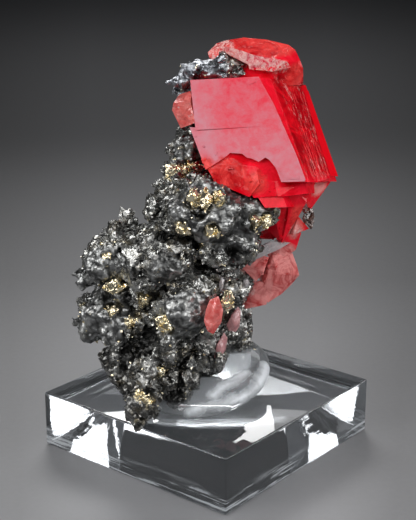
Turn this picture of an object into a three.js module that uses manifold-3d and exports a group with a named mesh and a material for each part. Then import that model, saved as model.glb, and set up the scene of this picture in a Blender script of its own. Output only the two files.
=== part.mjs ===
// Rhodochrosite on matrix: red rhombohedral crystals on a dark sulphide matrix, set in a clear
// cushion on a clear acrylic display block.
// Millimetres, +Z up. The origin is the middle of the block's underside, and the block's sides run
// along X and Y. The specimen is modelled facing -Y, its display side, and turned on the block.
import * as THREE from "three";
import { ConvexGeometry } from "three/addons/geometries/ConvexGeometry.js";
import { mergeVertices } from "three/addons/utils/BufferGeometryUtils.js";
import Module from "manifold-3d";

const wasm = await Module();
wasm.setup();

// Driving dimensions
const BLOCK_SIDE = 50.8;
const BLOCK_HEIGHT = 12.4;
const BLOCK_EDGE = 0.4;
const SPECIMEN_TURN = THREE.MathUtils.degToRad(39.3);
const GAP = 0.3;
const SOCKET_GROWTH = 0.45;
const MERGE = 1e-4;

// The main crystal's front top right corner, and its three edge directions
const CORNER = new THREE.Vector3(12.4, 1, 80.7);
const ACROSS = new THREE.Vector3(1, 0.01, 0.03).normalize();
const DOWN = new THREE.Vector3(0.306, -0.553, -0.775).normalize();
const BACK = new THREE.Vector3(0.324, 0.913, -0.242).normalize();

// Finishes
const paint = (color, roughness, metalness = 0) => ({ color, roughness, metalness });
const CLEAR = { ...paint(0xe8eef0, 0.05), transparent: true, opacity: 0.35 };
const RED = paint(0xc4161c, 0.15);
const CORAL = paint(0xd9493f, 0.25);
const PALE = paint(0xc48a88, 0.35);
const SULPHIDE = paint(0x35383a, 0.4, 0.6);
const PYRITE = paint(0xc9ab62, 0.3, 0.9);
const QUARTZ = paint(0xd8d4d6, 0.2);
const RESIN = paint(0x2a1d1b, 0.2);

const vec = (p) => new THREE.Vector3(...p);

// A repeatable random number from 0 to 1 for each call.
function dice(seed) {
  let state = seed >>> 0;
  return () => {
    state = (state + 0x6d2b79f5) >>> 0;
    let t = Math.imul(state ^ (state >>> 15), 1 | state);
    t = (t + Math.imul(t ^ (t >>> 7), 61 | t)) ^ t;
    return ((t ^ (t >>> 14)) >>> 0) / 4294967296;
  };
}

const anyDirection = (random) =>
  new THREE.Vector3().setFromSphericalCoords(1, Math.acos(2 * random() - 1), 2 * Math.PI * random());

function toSolid(geometry) {
  const bare = geometry.clone();
  bare.deleteAttribute("normal");
  bare.deleteAttribute("uv");
  const merged = mergeVertices(bare, MERGE);
  return new wasm.Manifold(
    new wasm.Mesh({
      numProp: 3,
      vertProperties: new Float32Array(merged.attributes.position.array),
      triVerts: new Uint32Array(merged.index.array),
    }),
  );
}

// The solid's triangles, without any loose splinter that a cut has left.
function toGeometry(solid) {
  const mesh = solid.getMesh();
  const points = new THREE.BufferAttribute(new Float32Array(mesh.vertProperties), 3);
  const geometry = new THREE.BufferGeometry().setAttribute("position", points);
  geometry.setIndex(new THREE.BufferAttribute(largestBody(mesh.triVerts, points.count), 1));
  geometry.computeVertexNormals();
  return geometry;
}

function largestBody(triangles, vertexCount) {
  const leader = Uint32Array.from({ length: vertexCount }, (_, i) => i);
  const find = (i) => {
    while (leader[i] !== i) i = leader[i];
    return i;
  };
  for (let i = 0; i < triangles.length; i += 3) {
    leader[find(triangles[i + 1])] = find(triangles[i]);
    leader[find(triangles[i + 2])] = find(triangles[i]);
  }
  const bodies = new Map();
  for (let i = 0; i < triangles.length; i += 3) {
    const body = find(triangles[i]);
    if (!bodies.has(body)) bodies.set(body, []);
    bodies.get(body).push(triangles[i], triangles[i + 1], triangles[i + 2]);
  }
  const largest = [...bodies.values()].reduce((a, b) => (b.length > a.length ? b : a));
  return new Uint32Array(largest);
}

const join = (solids) => solids.reduce((all, next) => all.add(next));

const cornersOf = ({ attributes: { position } }) =>
  Array.from({ length: position.count }, (_, i) => new THREE.Vector3().fromBufferAttribute(position, i));

// Swells a geometry about the middle of its corners, by that much on average. A swelled crystal is
// the socket for itself.
function swelled(geometry, grow) {
  const corners = cornersOf(geometry);
  const middle = corners.reduce((sum, p) => sum.add(p), new THREE.Vector3()).divideScalar(corners.length);
  const size = new THREE.Box3().setFromPoints(corners).getSize(new THREE.Vector3());
  const swell = 1 + (2 * grow) / Math.cbrt(size.x * size.y * size.z);
  return geometry
    .translate(-middle.x, -middle.y, -middle.z)
    .scale(swell, swell, swell)
    .translate(middle.x, middle.y, middle.z);
}

// Flat-faced pieces are convex hulls of a few corners.
const hull = (corners, grow = 0) => toSolid(swelled(new ConvexGeometry(corners), grow));

const hullsOf = (pieces) => (grow) => join(pieces.map((corners) => hull(corners, grow)));

// A point of the main crystal's lattice: millimetres across, down and back from its corner.
function lattice(across, down, back) {
  return CORNER.clone()
    .addScaledVector(ACROSS, across)
    .addScaledVector(DOWN, down)
    .addScaledVector(BACK, back);
}

const latticeHull = (corners) => corners.map((p) => lattice(...p));

// Crystals

// The face, as [across, down] round its outline: the upper and lower storey at the left, and the
// broken lower edge. It is a layer on the core.
const FACE_OUTLINE = [
  [-15.9, 0], [-1.9, -0.3], [-0.8, 6], [-0.4, 12], [0, 18], [0, 23.6], [-0.6, 23.9], [-4.2, 23.9],
  [-4.9, 23], [-5.1, 20.5], [-5.8, 18.8], [-6.4, 18.3], [-8, 19.2], [-9.2, 18.4], [-10.1, 18.2],
  [-10.7, 17.3], [-13.1, 17], [-14.6, 18.1], [-17.3, 19.6], [-19.1, 20.6], [-19.4, 10.9], [-18.1, 11],
];
const FACE_DEPTH = 3;

// The core, whose front slopes away below, where the face is broken off.
const CORE = [
  [[-15.9, 0.1, 0.5], [-1.5, 0.1, 0.5], [-17.4, 16.5, 0.5], [0, 16.5, 0.5], [-15.5, 24, 2.4], [0.2, 24, 2.4],
    [-15.9, 0.1, 13], [0, 0.1, 13], [-15.5, 22.5, 13], [0.2, 22.5, 13]],
  [[-19.2, 11.4, 0.5], [-15, 11.4, 0.5], [-18.9, 20.4, 0.5], [-15, 20.4, 0.8], [-18.3, 24.5, 1.6],
    [-14, 24.5, 2], [-19.2, 11.4, 9], [-15, 11.4, 9], [-18.3, 24.5, 9], [-14, 24.5, 9]],
  [[-13, 2, 12], [-3, 2, 12], [-13, 15, 12], [-3, 15, 12], [-12, 3, 16], [-4, 3, 16], [-12, 14, 16],
    [-4, 14, 16]],
];

// The right side: bands that lean outwards, each a little proud of the one in front of it. For each,
// the top and bottom end of its front edge, then of its back edge.
const SIDE_BANDS = [
  [[-1.9, 0, 0], [-0.3, 23.9, 0], [0.2, 0.1, 0.8], [0.3, 24, 0.4]],
  [[0.25, 0.2, 0.9], [0.4, 24.1, 0.4], [2.7, 0.4, 5.6], [1.3, 24.2, 4]],
  [[2.7, 0.8, 5.2], [1.6, 24, 4], [4.1, 1.4, 8.8], [3, 23.2, 8.4]],
  [[3.9, 2.2, 9.2], [3.1, 22.8, 8.4], [4.2, 2.8, 13.2], [3.7, 21.6, 13.2]],
];
const SIDE_ROOT = { across: -5, back: 13.4 };

// The thin plate over the upper left of the face, thick at the left and fading to the right.
const FACE_PLATE = [
  [-15.9, 0, 0.5],
  [-15.9, 0, -0.35],
  [-18.3, 11.6, -0.35],
  [-18.3, 11.6, 2.5],
  [-15, 4, 3],
  [-4, 11.2, -0.02],
  [-4, 0, -0.02],
  [-6, 8, 1],
];

// The ledges under the face, where its lower edge is broken away.
const LEDGES = [
  [[-17.8, 19.6, 0.7], [-13.2, 18, 0.6], [-11.6, 19.8, 0.3], [-9, 20.2, 0.5], [-9.8, 24.2, 1.1],
    [-13, 27, 2.2], [-18, 24, 2], [-12, 20, 6], [-9.4, 20.4, 6], [-9.8, 24.2, 6], [-16, 24, 6]],
  [[-12.6, 23.2, 1.9], [-6.8, 23.8, 2], [-7.6, 27, 2.7], [-12.4, 27.2, 2.8], [-12.6, 23.2, 9],
    [-6.8, 23.8, 9], [-7.6, 27, 9], [-12.4, 27.2, 9]],
  [[-7.4, 23.6, 2.2], [-0.6, 23.6, 2.4], [-1.4, 26.6, 3.6], [-7.4, 27.2, 2.6], [-7.4, 23.6, 9],
    [-0.6, 23.6, 9], [-1.4, 26.6, 9], [-7.4, 27.2, 9]],
  [[-12, 25, 2.6], [-6.5, 25, 2.8], [-6.6, 29.5, 3.6], [-11, 29.5, 3.4], [-12, 25, 10],
    [-6.5, 25, 10], [-6.6, 29.5, 10], [-11, 29.5, 10]],
];

// The wedge of facets that narrows down behind the matrix, and the paler shelf to its right.
const LOWER_WEDGE = [
  [[5, -6, 62], [20, -7, 61.6], [22.6, -5, 60.6], [13, -8.4, 57], [20, -4.6, 56.6], [15.2, -6.4, 47.6],
    [12.5, -6, 50], [18, 2, 50], [10, 6, 52], [20, 5, 63], [8, 6, 64], [20, -2, 64]],
  [[17, -7.4, 60.4], [20.4, -5.8, 56], [16.4, -7.4, 52.8], [15.4, -6.6, 47.4], [17.2, -4, 49],
    [13, -3, 52], [21, -3, 60], [14, -5, 59]],
  [[8.6, -4.6, 47.9], [9.4, -5, 49.9], [11.2, -5.4, 51.8], [13.6, -5.8, 53.6], [16.6, -5.6, 50.6],
    [17.4, -4.6, 48.6], [13, -4.4, 47.6], [9.6, 0, 47.6], [14, 2, 52], [16.5, 0, 48.6], [10, 1, 52]],
];
const LOWER_SHELF = [
  [[19.6, -4.6, 60.6], [26.2, 1, 60], [25.8, 0.6, 58.6], [23.6, -1, 56.2], [21.4, -1.8, 53], [20.6, -3.4, 55],
    [24.5, 7, 58], [19, 5, 52.5], [19, 6, 63], [22, 0, 63]],
  [[18.8, -5, 52.8], [21.2, -4, 49.8], [17.8, -5.2, 48.8], [18.4, -5.2, 51.4], [18.5, 1.5, 51.5],
    [15, 0, 48], [19.5, 0.5, 49]],
];

// The four crystals under the wedge, joined to it by a dark red link.
const LOWER_CRYSTALS = [
  [[15.2, -5.4, 48.6], [19.6, -3.8, 48.8], [18.6, -3.4, 45], [15, -4.6, 42.6], [12.6, -4.6, 44],
    [17.5, 2.5, 49], [17, 3, 43], [13, 1, 44]],
  [[13.6, -5.6, 44.4], [17.9, -3.4, 44.2], [18.9, -2.8, 41.4], [19.5, -2.4, 39], [17.9, -2.2, 36.8],
    [15.8, -2.8, 34.9], [12.8, -4, 33.3], [12, -5.2, 37.6], [14.6, -5.8, 40.4], [17.4, 3, 42],
    [13.4, 2, 36], [10, 2, 40]],
  [[7.2, -6.4, 41.9], [9, -6.8, 43.4], [11.8, -6.4, 44.6], [12.8, -6, 44.2], [11.7, -6.8, 41],
    [10.1, -6.4, 38.9], [9, 0, 41], [12.6, -1, 42], [11, -1, 39]],
  [[9, -5.2, 38.6], [11.7, -5.2, 38.4], [12.8, -4.4, 34.4], [12.5, -4.2, 33], [8.2, -4, 31.9],
    [7, -3.6, 32.9], [8.6, 0, 37], [12.2, 0, 37], [9, 1, 34]],
];

// The upper crystal, behind and above the main one, with its broken pale end at the left, and the
// broken ledge along its front.
const UPPER_CRYSTAL = [
  [[7.4, 10, 87.6], [12.5, 9.5, 87.2], [16.9, 8.5, 86.3], [18.3, 7.5, 85.4], [19.3, 6, 83.4],
    [19.9, 5.5, 81.8], [20.2, 8, 77.9], [13.4, 3.6, 83.8], [18.3, 4.4, 83.4], [6.8, 5, 84.6],
    [17.4, 4.2, 78.5], [6.5, 6, 77], [6.5, 16, 82], [16.5, 17, 80], [18.5, 14, 75], [8, 14, 73]],
  [[6.5, 4.2, 82.8], [14.6, 3.8, 82.4], [14.4, 3.4, 79.8], [7, 4, 79.6], [8, 8, 83], [13.5, 8, 83],
    [13, 8, 78], [7, 8, 78]],
];
const UPPER_LEDGE = [
  [[2.2, 4.4, 86], [3.8, 3.8, 86.6], [6.8, 3, 86], [9.4, 2.7, 85], [9.2, 2.4, 82.7], [6.8, 3.2, 83.9],
    [4, 4.4, 84.9], [3.4, 9, 85.4], [9, 9, 84.4], [8, 9, 82]],
  [[8, 2.7, 85.4], [11.8, 2.4, 84.7], [16.4, 3, 83.6], [17.2, 3.4, 82.4], [13.4, 2.5, 81.7], [8.6, 2.3, 82.2],
    [8, 8, 84], [16, 8, 83], [13, 8, 81]],
];
const UPPER_PALE_END = [
  [[0, 9, 84.6], [1.9, 9.6, 86.4], [3.9, 10, 87], [7.8, 10, 87.6], [8.5, 6, 84.6], [6.4, 4.6, 83.6],
    [2.4, 6.2, 84], [0.8, 8, 82], [3, 14, 82], [9, 15, 80], [8, 8, 77]],
];

// The face's layer, cut from its outline.
function faceLayer(grow) {
  const outline = new THREE.Shape(FACE_OUTLINE.map(([across, down]) => new THREE.Vector2(across, down)));
  const layer = new THREE.ExtrudeGeometry(outline, { depth: FACE_DEPTH, bevelEnabled: false });
  layer.applyMatrix4(new THREE.Matrix4().makeBasis(ACROSS, DOWN, BACK).setPosition(CORNER));
  return toSolid(swelled(layer, grow));
}

// A band of the right side, with its root inside the core.
function sideBand([frontTop, frontBottom, backTop, backBottom]) {
  const corners = [frontTop, frontBottom, backTop, backBottom];
  for (const [[frontAcross, down, front], [backAcross]] of [[frontTop, backTop], [frontBottom, backBottom]]) {
    corners.push([SIDE_ROOT.across, down, front]);
    corners.push([SIDE_ROOT.across, down, SIDE_ROOT.back]);
    corners.push([Math.max(frontAcross, backAcross), down, SIDE_ROOT.back]);
  }
  return latticeHull(corners);
}

const CLUSTER = [
  ...CORE.map(latticeHull),
  ...SIDE_BANDS.map(sideBand),
  latticeHull(FACE_PLATE),
  ...LEDGES.map(latticeHull),
  ...[LOWER_WEDGE, LOWER_SHELF, LOWER_CRYSTALS, UPPER_CRYSTAL, UPPER_LEDGE, UPPER_PALE_END]
    .flat()
    .map((corners) => corners.map(vec)),
];

// Crystals that stand apart from the main cluster: corners in millimetres.
const APART = {
  rhodochrosite_left: {
    finish: CORAL,
    corners: [
      [[-7, -1.9, 76], [-3, -2.4, 76.5], [-2.6, -3, 72.1], [-5.5, -2.7, 70.9], [-7.3, -1.9, 74.5],
        [-3.6, 1.2, 77.9], [-5.9, 1.4, 77.1], [-3.2, 4, 77.4], [-6, 4, 76.4], [-3, 3.6, 71.8],
        [-6, 3.6, 72.6]],
    ],
  },
  rhodochrosite_small: {
    finish: CORAL,
    corners: [
      [[2.2, -18, 39.9], [3.2, -18, 36.8], [2.8, -18.2, 34.2], [1.2, -18.4, 31.7], [-0.1, -18.2, 32.3],
        [-0.8, -18, 34.4], [-0.4, -17.8, 36.8], [0.4, -17.8, 39], [1.2, -19.2, 36.4], [1, -19.2, 34],
        [1, -13, 37], [1.5, -13.5, 34.5]],
    ],
  },
  rhodochrosite_pale_upper: {
    finish: PALE,
    corners: [
      [[6.4, -8.2, 34.1], [7, -8, 32.9], [6.8, -8, 29.6], [6, -8.4, 28.3], [4.4, -8.8, 28.7],
        [3.9, -9, 30.2], [4.9, -8.8, 32.2], [5.6, -9.2, 31], [5.5, -4, 31.5], [5.5, -4, 30]],
    ],
  },
  rhodochrosite_pale_lower: {
    finish: PALE,
    corners: [
      [[3.4, -11.6, 29.5], [4.2, -11.4, 28.2], [3.8, -11.6, 25.5], [2.4, -12.2, 23.8], [1.3, -12.8, 24.3],
        [1.9, -12.6, 27.2], [2.6, -13, 26], [3, -8, 27], [2.4, -8, 25]],
    ],
  },
  quartz_blade: {
    finish: QUARTZ,
    corners: [
      [[7.2, -7.6, 43.4], [10.6, -7.4, 46.6], [13.2, -7, 48], [17.3, -5.4, 47.2], [14.9, -6, 45.9],
        [11.9, -7, 44.9], [8.9, -7.4, 43.6], [12, -4.6, 46.8], [15.6, -4.2, 46.6]],
    ],
  },
  quartz_grain_upper: {
    finish: QUARTZ,
    corners: [
      [[2.8, -9.4, 41], [3.6, -9.3, 40.3], [3.2, -9.6, 38.6], [2.6, -9.8, 37.8], [2.3, -9.7, 39.2],
        [3, -10, 39.6], [3, -6.4, 39.6]],
    ],
  },
  quartz_grain_right: {
    finish: QUARTZ,
    corners: [
      [[7.4, -6.9, 39.5], [8.4, -6.6, 39.7], [8.9, -6.4, 38.6], [8.3, -6.7, 37.5], [7.4, -7.1, 37.9],
        [8, -7.4, 38.6], [7.8, -4, 38.6]],
    ],
  },
  quartz_grain_lower: {
    finish: QUARTZ,
    corners: [
      [[2.4, -10, 21.7], [3.5, -9.7, 22], [3.5, -9.8, 20.6], [2.8, -10, 19.7], [2, -10.2, 20.6],
        [2.9, -10.5, 21], [2.4, -7.4, 20.8]],
    ],
  },
  sphalerite_grain: {
    finish: RESIN,
    corners: [
      [[20.2, -4.4, 54], [21.8, -3.6, 54], [22.4, -3.6, 51.6], [21.8, -3.8, 49.8], [20.4, -4.4, 50.2],
        [19.8, -4.6, 52], [20.6, -0.6, 52.4], [22, 0, 53]],
    ],
  },
};

// Pyrite: the larger brassy crystals, each a cube or a pyritohedron set in the matrix.
const PYRITE_CRYSTALS = {
  band_left: { at: [-6.7, -2.2, 61.6], size: [1.9, 1.4, 1.1], turn: 0.1, form: "cube" },
  band_right: { at: [-2.9, -0.4, 62.1], size: [1.4, 1.3, 1.1], turn: 0.3, form: "cube" },
  stripe_left: { at: [-2.9, -15.1, 59.5], size: [0.9, 1, 1.5], turn: 0.5, form: "cube" },
  stripe_middle: { at: [-0.4, -15.3, 59.3], size: [0.9, 1, 1.8], turn: 0.6, form: "cube" },
  stripe_right: { at: [2.3, -14, 59.2], size: [0.9, 0.9, 1.2], turn: 0.3, form: "cube" },
  middle: { at: [-4.5, -14.4, 53.2], size: [2.1, 1.2, 1.5], turn: 0.8, form: "ball" },
  middle_right: { at: [0.8, -17, 53.2], size: [1, 0.9, 0.9], turn: 0.2, form: "cube" },
  nose: { at: [11.8, -12.2, 53.8], size: [1.4, 1.1, 1.4], turn: 0.2, form: "ball" },
  nose_left: { at: [9.5, -13.5, 53.9], size: [0.7, 0.8, 1.3], turn: 0.5, form: "cube" },
  knob: { at: [-18.7, -14.8, 40.8], size: [1.9, 1, 1.1], turn: 0.7, form: "cube" },
  bulge: { at: [-19.9, -12.9, 34.4], size: [1.8, 1.2, 1.4], turn: 0.2, form: "ball" },
  bridge: { at: [-13.4, -14.4, 37.8], size: [1.2, 1, 1.2], turn: 0.5, form: "cube" },
  centre: { at: [-8.6, -16.4, 33.2], size: [2.1, 1.3, 1.9], turn: 0.4, form: "ball" },
  by_small_crystal: { at: [4.1, -11.6, 36.6], size: [1, 1.2, 1.6], turn: 0.9, form: "cube" },
  lower: { at: [-9.9, -16.3, 22.7], size: [1.3, 1, 1.1], turn: 0.9, form: "ball" },
  tip: { at: [-12.1, -21.7, 18.4], size: [1.2, 0.9, 1], turn: 0.4, form: "cube" },
};

function pyriteCorners({ at, size, turn, form }) {
  const shape = form === "cube" ? new THREE.BoxGeometry(2, 2, 2) : new THREE.DodecahedronGeometry(1.1);
  shape.rotateX(turn);
  shape.rotateZ(turn * 2);
  shape.scale(...size);
  shape.translate(...at);
  return cornersOf(shape);
}

// Matrix

// The lumps that the matrix is made of: middle and half sizes in millimetres.
const LUMPS = {
  cap_left: { at: [-5.4, 4, 80], size: [2.4, 2.8, 2.4] },
  cap_middle: { at: [-1.8, 4.4, 81.2], size: [3.2, 3.2, 2.7] },
  cap_right: { at: [2.4, 5, 82.3], size: [3.8, 3.2, 3] },
  cap_end: { at: [6, 4.4, 80.8], size: [2.7, 2.4, 2.8] },
  link: { at: [-3.5, 8, 74.5], size: [2.8, 4, 8] },
  neck: { at: [-3.9, 3.4, 64.6], size: [4.2, 4.8, 5] },
  neck_foot: { at: [-6, 1, 60.8], size: [4, 4.6, 3.6] },
  spine: { at: [3, 10, 63], size: [7.5, 6.5, 11] },
  shoulder: { at: [-7, -4, 56.4], size: [4.7, 6, 5.2] },
  shelf: { at: [-10.5, -6, 54.3], size: [3.1, 3.8, 3.3] },
  mass: { at: [-0.6, -8.6, 55.4], size: [9.4, 9.4, 6.8] },
  nose: { at: [8.6, -9.4, 54.6], size: [5, 5.4, 5.1] },
  ridge: { at: [1.6, -9, 59], size: [5.6, 4.8, 4] },
  under_mass: { at: [4.4, -8.4, 48.2], size: [7.4, 6.6, 5.6] },
  left_ridge: { at: [-16.8, -7.6, 48.8], size: [4.9, 5, 4.3] },
  knob: { at: [-20.8, -9.8, 44], size: [5.2, 6, 5.9] },
  nib: { at: [-25.4, -8.6, 40.4], size: [2.4, 2.6, 2.6] },
  bridge_left: { at: [-16, -10.8, 39.2], size: [4.6, 5.5, 4.8] },
  left_bulge: { at: [-21.4, -8.6, 34], size: [5.8, 6, 6.2] },
  left_low: { at: [-24.6, -8, 29.6], size: [3.4, 4, 3.7] },
  centre: { at: [-10.4, -9.6, 45], size: [8.2, 9, 8.6] },
  centre_right: { at: [-4.6, -9.4, 35], size: [8.2, 9.6, 8.2] },
  centre_left: { at: [-15.6, -11, 30], size: [6.8, 7, 6.6] },
  bridge_low: { at: [-9.4, -12.6, 26.6], size: [4.8, 5.6, 5] },
  low_left: { at: [-18, -12.4, 24], size: [4.2, 5.4, 5.2] },
  lower: { at: [-14.4, -14.4, 21.4], size: [5.6, 6.4, 6] },
  tip: { at: [-13.6, -20.3, 17.4], size: [4.5, 3.8, 4.4] },
  right_low: { at: [-2, -7, 25], size: [6.6, 8, 7.4] },
  foot: { at: [-6.6, -11.6, 18.4], size: [5.4, 6.2, 4.9] },
  rear: { at: [6.4, 5, 21.8], size: [4, 5.5, 5.8] },
  rear_bridge: { at: [3.8, 0, 28.6], size: [5.6, 7.5, 7] },
  right_middle: { at: [4, -2.6, 38.4], size: [5.8, 6.8, 7.2] },
  back_middle: { at: [-6, 0, 42], size: [9, 8, 10] },
  back_upper: { at: [1, 3, 53], size: [9, 7.5, 8] },
};

const LUMP_CORNERS = { least: 12, perMillimetre: 2.35 };
const LUMP_SWING = 0.11;
const LUMP_SPREAD = 0.7;
const LUMP_SEED = 11;
const GOLDEN_ANGLE = Math.PI * (3 - Math.sqrt(5));

// A rough block with flat facets: the hull of corners spread evenly round an egg shape.
function chunk({ at, size }, count, swing, seed, grow = 0) {
  const random = dice(seed);
  const corners = [];
  for (let i = 0; i < count; i++) {
    const height = 1 - (2 * (i + random())) / count;
    const around = GOLDEN_ANGLE * (i + LUMP_SPREAD * random()) + seed;
    const out = new THREE.Vector3().setFromSphericalCoords(1, Math.acos(height), around);
    const reach = 1 + swing * (2 * random() - 1);
    corners.push(vec(at.map((middle, k) => middle + out.getComponent(k) * (size[k] * reach + grow))));
  }
  return hull(corners);
}

const CRUST_PER_LUMP = 6;
const CRUST_SIZE = [0.9, 2.1];
const CRUST_DEPTH = 0.9;
const CRUST_CLEARANCE = 1.02;
const CRUST_REACH = 1.3;
const CRUST_SEED = 77;
const POINTED = { share: 0.6, size: 1.25 };

// Whether a point lies outside every lump but its own.
function isBare(point, own) {
  return Object.entries(LUMPS).every(([name, { at, size }]) => {
    if (name === own) return true;
    const reach = Math.hypot(...[0, 1, 2].map((k) => (point.getComponent(k) - at[k]) / size[k]));
    return reach > CRUST_CLEARANCE;
  });
}

// Small sulphide crystals standing on the lumps: tetrahedra and octahedra at random turns.
function crust(grow = 0) {
  const random = dice(CRUST_SEED);
  const grains = [];
  for (const [name, { at, size }] of Object.entries(LUMPS)) {
    for (let i = 0; i < CRUST_PER_LUMP; i++) {
      const out = anyDirection(random);
      const middle = vec(at.map((centre, k) => centre + out.getComponent(k) * size[k] * CRUST_DEPTH));
      const radius = THREE.MathUtils.lerp(...CRUST_SIZE, random());
      const turn = new THREE.Euler(...[0, 1, 2].map(() => 2 * Math.PI * random()));
      const pointed = random() < POINTED.share;
      if (!isBare(middle, name) || middle.z - radius * CRUST_REACH < BLOCK_HEIGHT + GAP) continue;
      const form = pointed
        ? new THREE.TetrahedronGeometry(radius * POINTED.size)
        : new THREE.OctahedronGeometry(radius);
      form.applyMatrix4(new THREE.Matrix4().makeRotationFromEuler(turn));
      form.translate(middle.x, middle.y, middle.z);
      grains.push(hull(cornersOf(form), grow));
    }
  }
  return grains;
}

function matrixBody(grow = 0) {
  const lumps = Object.values(LUMPS).map((lump, i) => {
    const count = Math.round(LUMP_CORNERS.least + LUMP_CORNERS.perMillimetre * Math.max(...lump.size));
    return chunk(lump, count, LUMP_SWING, LUMP_SEED + i, grow);
  });
  return join([...lumps, ...crust(grow)]);
}

// Block and cushion

function acrylicBlock() {
  const half = BLOCK_SIDE / 2 - BLOCK_EDGE;
  const outline = new THREE.Shape();
  outline.moveTo(-half + BLOCK_EDGE, -half);
  outline.lineTo(half - BLOCK_EDGE, -half);
  outline.lineTo(half, -half + BLOCK_EDGE);
  outline.lineTo(half, half - BLOCK_EDGE);
  outline.lineTo(half - BLOCK_EDGE, half);
  outline.lineTo(-half + BLOCK_EDGE, half);
  outline.lineTo(-half, half - BLOCK_EDGE);
  outline.lineTo(-half, -half + BLOCK_EDGE);
  const block = new THREE.ExtrudeGeometry(outline, {
    depth: BLOCK_HEIGHT - 2 * BLOCK_EDGE,
    bevelThickness: BLOCK_EDGE,
    bevelSize: BLOCK_EDGE,
    bevelSegments: 1,
  });
  return block.translate(0, 0, BLOCK_EDGE);
}

const CUSHION = { at: [-0.7, -3.5, 16.4], size: [15.5, 13.9, 4], turn: 59, rise: 12, fullness: 0.8 };
const CUSHION_STEPS = { around: 24, over: 8 };

// The clear cushion: a lens with a full rim, pitched up towards the back right, flat on the block.
function cushionBody() {
  const { at, size, turn, rise, fullness } = CUSHION;
  const { around, over } = CUSHION_STEPS;
  const rim = [];
  for (let i = 0; i <= over; i++) {
    const angle = -Math.PI / 2 + (Math.PI * i) / over;
    const across = i % over === 0 ? 0 : Math.cos(angle) ** fullness;
    rim.push(new THREE.Vector2(across, Math.sin(angle)));
  }
  const lens = new THREE.LatheGeometry(rim, around);
  lens.rotateX(Math.PI / 2);
  lens.scale(...size);
  lens.rotateY(-THREE.MathUtils.degToRad(rise));
  lens.rotateZ(THREE.MathUtils.degToRad(turn));
  lens.translate(...at);
  const room = new THREE.BoxGeometry(BLOCK_SIDE, BLOCK_SIDE, BLOCK_HEIGHT * 2);
  room.translate(0, 0, BLOCK_HEIGHT * 2 + GAP);
  return toSolid(lens).intersect(toSolid(room));
}

// Assembly

const specimen = new THREE.Group();
specimen.rotation.z = SPECIMEN_TURN;

function addTo(group, name, geometry, finish) {
  const mesh = new THREE.Mesh(geometry, new THREE.MeshStandardMaterial({ ...finish, flatShading: true }));
  mesh.name = name;
  group.add(mesh);
}

const crystals = {
  rhodochrosite_cluster: { finish: RED, make: (grow) => hullsOf(CLUSTER)(grow).add(faceLayer(grow)) },
};
for (const [name, { finish, corners }] of Object.entries(APART)) {
  crystals[name] = { finish, make: hullsOf(corners.map((p) => p.map(vec))) };
}
for (const [name, grain] of Object.entries(PYRITE_CRYSTALS)) {
  crystals[`pyrite_${name}`] = { finish: PYRITE, make: hullsOf([pyriteCorners(grain)]) };
}

let matrix = matrixBody();
let cushion = cushionBody().subtract(matrixBody(GAP));
const placed = [];
for (const [name, { finish, make }] of Object.entries(crystals)) {
  const socket = make(SOCKET_GROWTH);
  matrix = matrix.subtract(socket);
  cushion = cushion.subtract(socket);
  const crystal = placed.reduce((body, taken) => body.subtract(taken), make(0));
  placed.push(socket);
  addTo(specimen, name, toGeometry(crystal), finish);
}
addTo(specimen, "matrix", toGeometry(matrix), SULPHIDE);
addTo(specimen, "clear_cushion", toGeometry(cushion), CLEAR);

const model = new THREE.Group();
model.name = "rhodochrosite_on_matrix";
addTo(model, "acrylic_block", acrylicBlock(), CLEAR);
model.add(specimen);

export default model;
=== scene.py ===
"""Rhodochrosite on matrix: red rhombohedral crystals on a dark sulphide matrix with pyrite, set in
clear gel on an acrylic block. Pieces are modelled in millimetres, facing -Y, the display side, and
settled into the frame's metres, turned as the specimen is turned on its block."""

import math
import random

import bpy
from mathutils import Matrix, Vector


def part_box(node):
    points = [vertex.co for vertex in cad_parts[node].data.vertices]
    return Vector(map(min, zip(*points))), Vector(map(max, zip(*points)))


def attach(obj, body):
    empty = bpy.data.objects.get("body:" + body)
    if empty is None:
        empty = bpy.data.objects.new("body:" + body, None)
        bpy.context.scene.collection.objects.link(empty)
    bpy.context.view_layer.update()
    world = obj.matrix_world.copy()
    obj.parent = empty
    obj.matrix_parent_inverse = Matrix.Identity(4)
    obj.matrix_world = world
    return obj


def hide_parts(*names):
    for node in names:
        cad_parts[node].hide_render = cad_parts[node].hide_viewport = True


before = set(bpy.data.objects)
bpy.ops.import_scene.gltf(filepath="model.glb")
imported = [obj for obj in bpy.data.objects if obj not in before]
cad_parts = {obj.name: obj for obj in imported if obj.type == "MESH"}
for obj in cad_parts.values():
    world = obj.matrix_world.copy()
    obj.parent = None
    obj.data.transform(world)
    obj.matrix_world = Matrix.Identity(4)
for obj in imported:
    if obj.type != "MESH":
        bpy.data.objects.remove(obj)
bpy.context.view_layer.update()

MM = 0.001
UP = (0, 0, 1)
SPECIMEN_TURN = math.radians(39.3)
TO_FRAME = Matrix.Rotation(SPECIMEN_TURN, 4, "Z") @ Matrix.Scale(MM, 4)
TO_SPECIMEN = TO_FRAME.inverted()

# The block that all stands on, in millimetres
BLOCK_LOW, BLOCK_HIGH = (Vector(corner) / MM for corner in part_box("acrylic_block"))

# The main crystal's front top right corner, and its three edge directions
CORNER = Vector((12.4, 1, 80.7))
ACROSS = Vector((1, 0.01, 0.03)).normalized()
DOWN = Vector((0.306, -0.553, -0.775)).normalized()
BACK = Vector((0.324, 0.913, -0.242)).normalized()


# Node trees


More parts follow.
